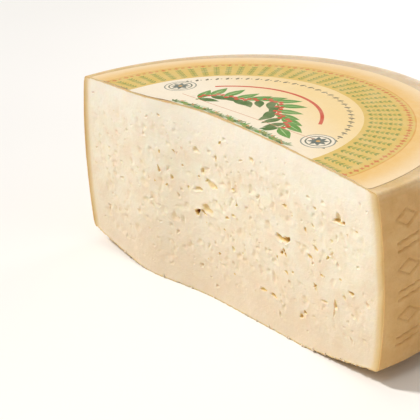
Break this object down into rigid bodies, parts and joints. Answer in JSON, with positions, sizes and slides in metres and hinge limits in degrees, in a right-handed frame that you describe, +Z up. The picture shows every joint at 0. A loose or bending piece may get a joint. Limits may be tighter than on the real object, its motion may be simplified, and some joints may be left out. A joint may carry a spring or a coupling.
{
  "type": "asiago cheese",
  "caption": "Half a round wheel of semi-hard cheese, cut open to show its small eyes, with a printed paper label glued on its domed top.",
  "frame": {"origin": "the wheel's axis at the flat of its underside", "axes": "+Z up along the wheel's axis, +X along the long straight of the cut, -Y out of the cut faces"},
  "size_m": [0.3398, 0.1884, 0.1427],
  "materials": {
    "cheese": "moist, matt, slightly waxy cut paste with a tan rind",
    "label_paper": "satin printed paper"
  },
  "bodies": {
    "root": {"cheese": "cheese", "label": "label_paper"}
  },
  "joints": []
}
